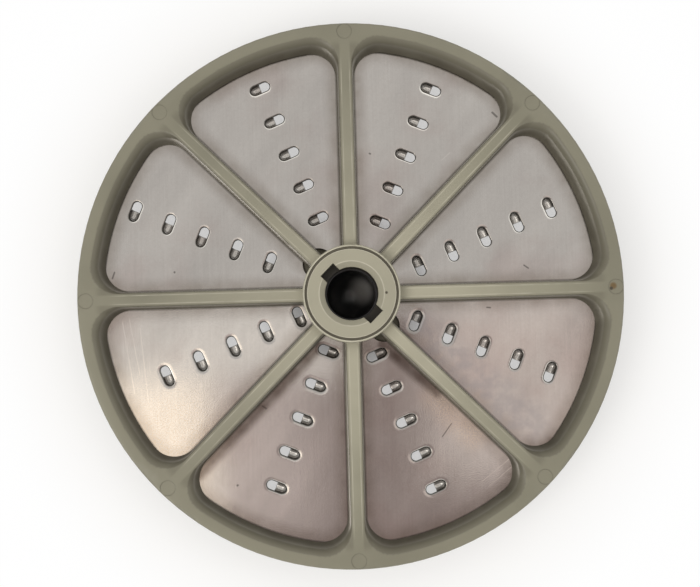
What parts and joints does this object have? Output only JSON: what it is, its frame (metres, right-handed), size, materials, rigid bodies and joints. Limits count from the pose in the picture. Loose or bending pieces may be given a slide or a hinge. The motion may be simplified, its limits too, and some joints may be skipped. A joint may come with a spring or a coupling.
{
  "type": "grating disc",
  "caption": "Round grating disc with a ribbed moulded frame, a keyed drive hub and a steel plate of formed gouge teeth, driven by the shaft of a vegetable cutter.",
  "frame": {"origin": "middle of the cap's flat crown, on which the disc comes to rest", "axes": "+Z is the drive axis, out of the bore's mouth, so the drive side faces up and the teeth face down; +X runs along a rib, and the two key slots lie at 135 and 315 degrees from +X"},
  "size_m": [0.175, 0.175, 0.028],
  "materials": {
    "moulded_frame": "fine moulded, satin",
    "plate_steel": "brushed, used",
    "cap_black": "polished"
  },
  "bodies": {
    "root": {"disc_frame": "moulded_frame", "grating_plate": "plate_steel", "hub_cap": "cap_black"}
  },
  "joints": []
}
